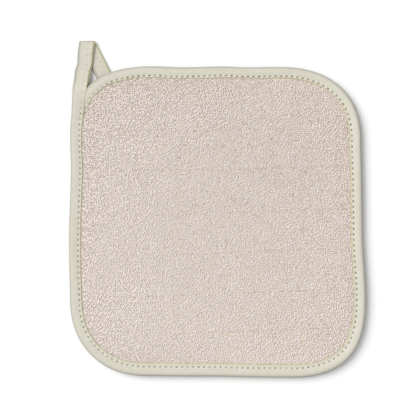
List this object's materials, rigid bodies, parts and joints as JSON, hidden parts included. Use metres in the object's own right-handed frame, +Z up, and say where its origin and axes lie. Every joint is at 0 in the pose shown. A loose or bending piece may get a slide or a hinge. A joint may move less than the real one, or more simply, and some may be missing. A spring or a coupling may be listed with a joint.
{
  "type": "pot holder",
  "caption": "Square cloth pot holder with rounded corners: a filled towelling pad bound with folded tape, which runs on past a corner as a flat hanging loop.",
  "frame": {"origin": "centre of the whole outline, at the surface that the pot holder lies on", "axes": "+Z up out of the front face, +Y towards the hanging loop's end, +X to the right seen from above"},
  "size_m": [0.2021, 0.2292, 0.0074],
  "materials": {
    "towelling": "looped cotton towelling, pale pinkish beige",
    "tape": "smooth woven cotton bias tape, cream"
  },
  "bodies": {
    "root": {"pad": "towelling", "binding": "tape", "hanging_loop": "tape"}
  },
  "joints": []
}
